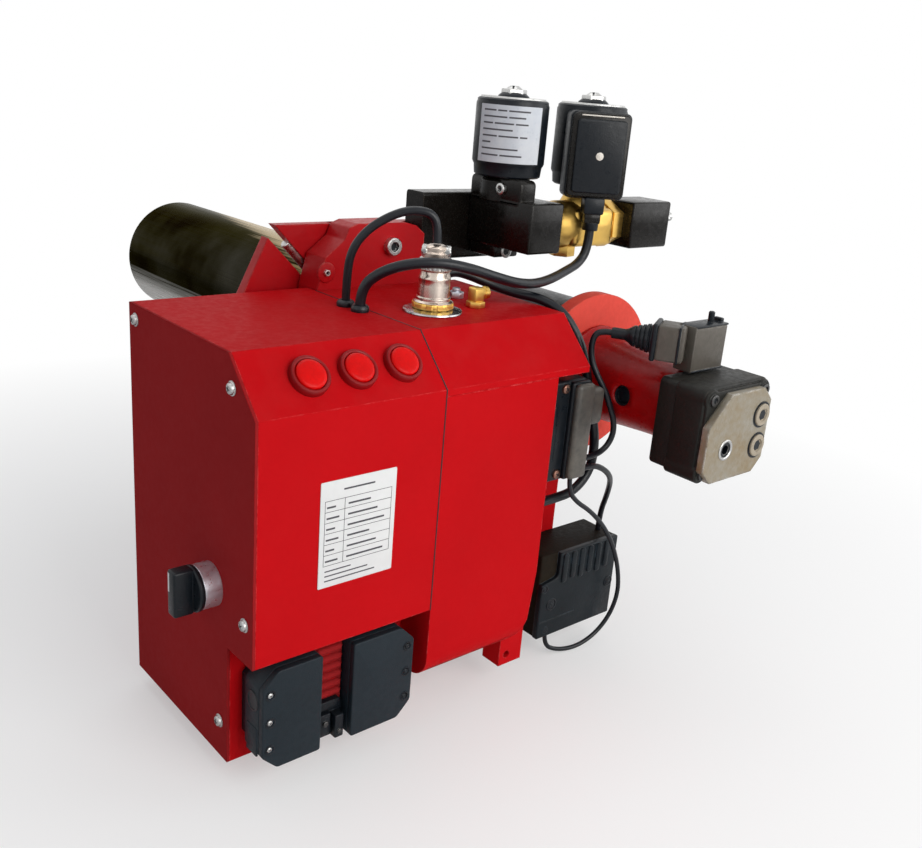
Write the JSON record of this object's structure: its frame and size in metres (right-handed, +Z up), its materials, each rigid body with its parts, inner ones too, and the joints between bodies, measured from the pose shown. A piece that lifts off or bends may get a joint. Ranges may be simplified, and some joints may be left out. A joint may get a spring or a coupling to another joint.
{
  "type": "dual fuel burner",
  "caption": "Oil and gas burner with control cabinet, fan housing, pump set, two-coil gas train, hexagon boiler flange and steel blast tube.",
  "frame": {"origin": "centre of the boiler flange's boiler-side face, on the blast tube's axis", "axes": "+Y along the blast tube into the boiler, +X towards the gas inlet, +Z up"},
  "size_m": [0.53, 0.638, 0.481],
  "materials": {
    "red_paint": "powder coat",
    "maroon_paint": "powder coat",
    "red_cast": "painted casting",
    "dark_red_cast": "painted casting",
    "polished_steel": "polished",
    "chrome": "plated",
    "bezel_red": "gloss",
    "lens_red": "gloss",
    "blue_grey_plastic": "satin",
    "black_plastic": "satin",
    "grey_plastic": "satin",
    "black_cast": "painted",
    "black_paint": "satin",
    "black_gloss": "gloss",
    "brown_cast": "cast",
    "zinc_steel": "zinc plated",
    "brass": "polished",
    "ceramic": "glazed ceramic, stood in for by plastic",
    "black_rubber": "matte"
  },
  "bodies": {
    "casing": {"air_housing": "red_paint", "bell_adapter": "dark_red_cast", "blast_tube": "polished_steel", "boiler_flange": "red_cast", "box_cord": "black_rubber", "brass_valve_body": "brass", "button_bezels": "bezel_red", "cabinet_shell": "red_paint", "cabinet_side_panel": "maroon_paint", "cable_connector": "chrome", "cable_grommets": "black_rubber", "coil_nuts": "zinc_steel", "connector_cord": "black_rubber", "connector_ring": "brass", "control_box": "blue_grey_plastic", "diffuser_disc": "zinc_steel", "electrodes": "ceramic", "fan_motor": "black_cast", "four_pole_plug": "blue_grey_plastic", "gas_elbow": "black_gloss", "gas_head": "zinc_steel", "gas_valve_cord": "black_rubber", "head_cover": "red_paint", "ignition_transformer": "black_plastic", "inlet_block": "black_gloss", "intake_duct": "red_paint", "main_coil": "black_plastic", "main_coil_cover": "black_plastic", "oil_inlet_fitting": "brass", "oil_lance": "zinc_steel", "oil_nozzle": "brass", "plug_sockets": "black_plastic", "pump_body": "brown_cast", "pump_bracket": "red_cast", "pump_cord": "black_rubber", "pump_cover": "brown_cast", "pump_motor": "black_paint", "pump_valve_coil": "black_plastic", "pump_valve_plug": "grey_plastic", "rear_collar": "red_cast", "safety_coil": "black_plastic", "screws_and_bolts": "zinc_steel", "selector_bezel": "chrome", "servo_body": "blue_grey_plastic", "servo_cord": "black_rubber", "servo_lead": "black_rubber", "seven_pole_plug": "blue_grey_plastic", "terminal_box": "black_plastic", "valve_block": "black_gloss"},
    "fan_rotor": {"fan_wheel": "zinc_steel", "fan_shaft": "zinc_steel"},
    "pump_rotor": {"pump_shaft": "zinc_steel", "shaft_coupling": "black_rubber"},
    "damper": {"air_damper": "zinc_steel"},
    "selector": {"selector_knob": "black_plastic"},
    "left_push": {"left_button": "lens_red"},
    "middle_push": {"middle_button": "lens_red"},
    "right_push": {"right_button": "lens_red"},
    "safety_armature": {"safety_plunger": "zinc_steel"},
    "main_armature": {"main_plunger": "zinc_steel"}
  },
  "joints": [
    {"name": "fan_spin", "type": "hinge", "parent": "casing", "child": "fan_rotor", "pos_m": [0, -0.106, -0.126], "axis": [1, 0, 0], "continuous": true},
    {"name": "pump_spin", "type": "hinge", "parent": "casing", "child": "pump_rotor", "pos_m": [0.16, -0.2, -0.027], "axis": [0, 1, 0], "continuous": true},
    {"name": "damper_turn", "type": "hinge", "parent": "casing", "child": "damper", "pos_m": [0.095, -0.1, -0.199], "axis": [0, 1, 0], "range_deg": [0, 90]},
    {"name": "selector_turn", "type": "hinge", "parent": "casing", "child": "selector", "pos_m": [-0.22, -0.1543, -0.1287], "axis": [-1, 0, 0], "range_deg": [-45, 45]},
    {"name": "left_push_press", "type": "slide", "parent": "casing", "child": "left_push", "axis": [0, 0.7173, -0.6968], "range_m": [0, 0.003], "stiffness_N_per_m": 300, "springref_m": -0.004},
    {"name": "middle_push_press", "type": "slide", "parent": "casing", "child": "middle_push", "axis": [0, 0.7173, -0.6968], "range_m": [0, 0.003], "stiffness_N_per_m": 300, "springref_m": -0.004},
    {"name": "right_push_press", "type": "slide", "parent": "casing", "child": "right_push", "axis": [0, 0.7173, -0.6968], "range_m": [0, 0.003], "stiffness_N_per_m": 300, "springref_m": -0.004},
    {"name": "safety_valve_lift", "type": "slide", "parent": "casing", "child": "safety_armature", "axis": [0, 0, 1], "range_m": [0, 0.003], "stiffness_N_per_m": 400, "springref_m": -0.005},
    {"name": "main_valve_lift", "type": "slide", "parent": "casing", "child": "main_armature", "axis": [0, 0, 1], "range_m": [0, 0.003], "stiffness_N_per_m": 400, "springref_m": -0.005}
  ]
}
